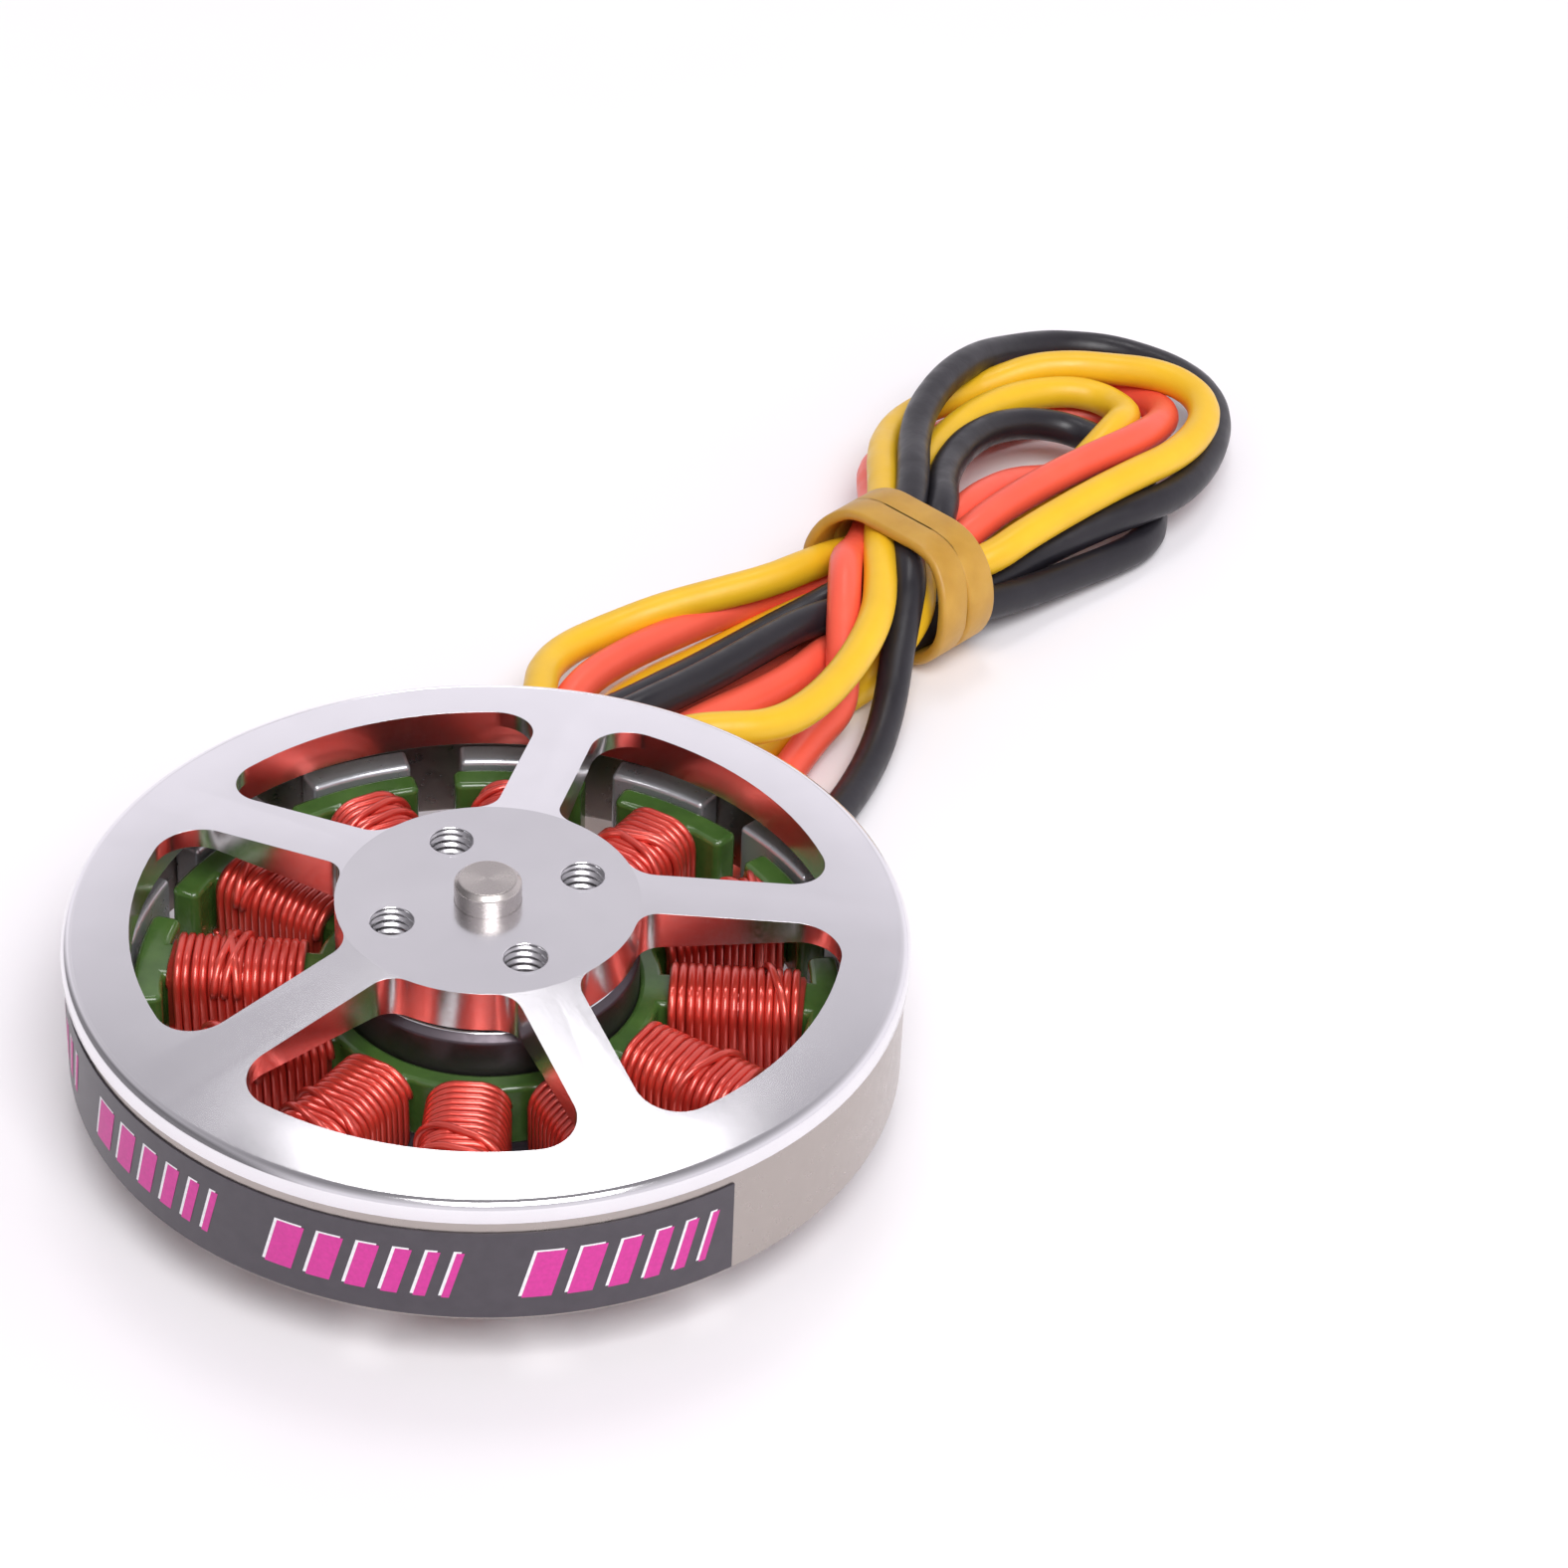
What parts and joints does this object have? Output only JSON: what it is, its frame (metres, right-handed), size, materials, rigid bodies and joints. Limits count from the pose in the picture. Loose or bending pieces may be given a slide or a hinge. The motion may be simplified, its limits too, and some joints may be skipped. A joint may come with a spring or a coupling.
{
  "type": "brushless outrunner motor",
  "caption": "Flat brushless outrunner motor with a spoked aluminium cap, arc magnets in a steel ring, wound stator, ball bearings and three tied silicone leads.",
  "frame": {"origin": "on the motor axis, on the plane the base stands on", "axes": "+Z along the motor axis out of the hub; the leads leave towards +X +Y"},
  "size_m": [0.0729, 0.1098, 0.0163],
  "materials": {
    "cap_aluminium": "turned and satin anodised clear, polished edges",
    "ring_nickel": "nickel plated steel, slightly mottled",
    "label_foil": "dark printed foil with slanted bars",
    "ground_steel": "ground steel",
    "spring_steel": "dark spring steel",
    "bearing_steel": "polished bearing steel",
    "magnet_nickel": "bright nickel plating on magnets",
    "base_anodised": "dark anodised aluminium",
    "stator_epoxy": "green epoxy powder coat on laminations",
    "enamelled_copper": "red enamelled copper wire",
    "sleeve_black": "shrink sleeve",
    "silicone_yellow": "silicone insulation",
    "silicone_red": "silicone insulation",
    "silicone_black": "silicone insulation",
    "band_rubber": "amber rubber band",
    "tinned_copper": "tinned strand ends"
  },
  "bodies": {
    "stator": {"mount_base": "base_anodised", "stator_core": "stator_epoxy", "coil_01": "enamelled_copper", "coil_02": "enamelled_copper", "coil_03": "enamelled_copper", "coil_04": "enamelled_copper", "coil_05": "enamelled_copper", "coil_06": "enamelled_copper", "coil_07": "enamelled_copper", "coil_08": "enamelled_copper", "coil_09": "enamelled_copper", "coil_10": "enamelled_copper", "coil_11": "enamelled_copper", "coil_12": "enamelled_copper", "lower_bearing_outer": "bearing_steel", "lower_bearing_shields": "bearing_steel", "upper_bearing_outer": "bearing_steel", "upper_bearing_shields": "bearing_steel", "phase_sleeve_yellow": "sleeve_black", "phase_sleeve_red": "sleeve_black", "phase_sleeve_black": "sleeve_black", "lead_yellow": "silicone_yellow", "lead_red": "silicone_red", "lead_black": "silicone_black", "lead_hank": "silicone_yellow", "rubber_band": "band_rubber", "lead_tip_yellow": "tinned_copper", "lead_tip_red": "tinned_copper", "lead_tip_black": "tinned_copper"},
    "rotor": {"bell_cap": "cap_aluminium", "flux_ring": "ring_nickel", "label_band": "label_foil", "shaft": "ground_steel", "shaft_shim": "ground_steel", "shaft_clip": "spring_steel", "lower_bearing_inner": "bearing_steel", "upper_bearing_inner": "bearing_steel", "magnet_01": "magnet_nickel", "magnet_02": "magnet_nickel", "magnet_03": "magnet_nickel", "magnet_04": "magnet_nickel", "magnet_05": "magnet_nickel", "magnet_06": "magnet_nickel", "magnet_07": "magnet_nickel", "magnet_08": "magnet_nickel", "magnet_09": "magnet_nickel", "magnet_10": "magnet_nickel", "magnet_11": "magnet_nickel", "magnet_12": "magnet_nickel", "magnet_13": "magnet_nickel", "magnet_14": "magnet_nickel"},
    "lower_balls": {"lower_ball_set": "bearing_steel"},
    "upper_balls": {"upper_ball_set": "bearing_steel"}
  },
  "joints": [
    {"name": "rotor_spin", "type": "hinge", "parent": "stator", "child": "rotor", "pos_m": [0, 0, 0], "axis": [0, 0, 1], "continuous": true},
    {"name": "lower_balls_orbit", "type": "hinge", "parent": "stator", "child": "lower_balls", "pos_m": [0, 0, 0.0036], "axis": [0, 0, 1], "continuous": true},
    {"name": "upper_balls_orbit", "type": "hinge", "parent": "stator", "child": "upper_balls", "pos_m": [0, 0, 0.0092], "axis": [0, 0, 1], "continuous": true}
  ],
  "couplings": [
    {"joint": "lower_balls_orbit", "follows": "rotor_spin", "ratio": 0.3667},
    {"joint": "upper_balls_orbit", "follows": "rotor_spin", "ratio": 0.3667}
  ]
}
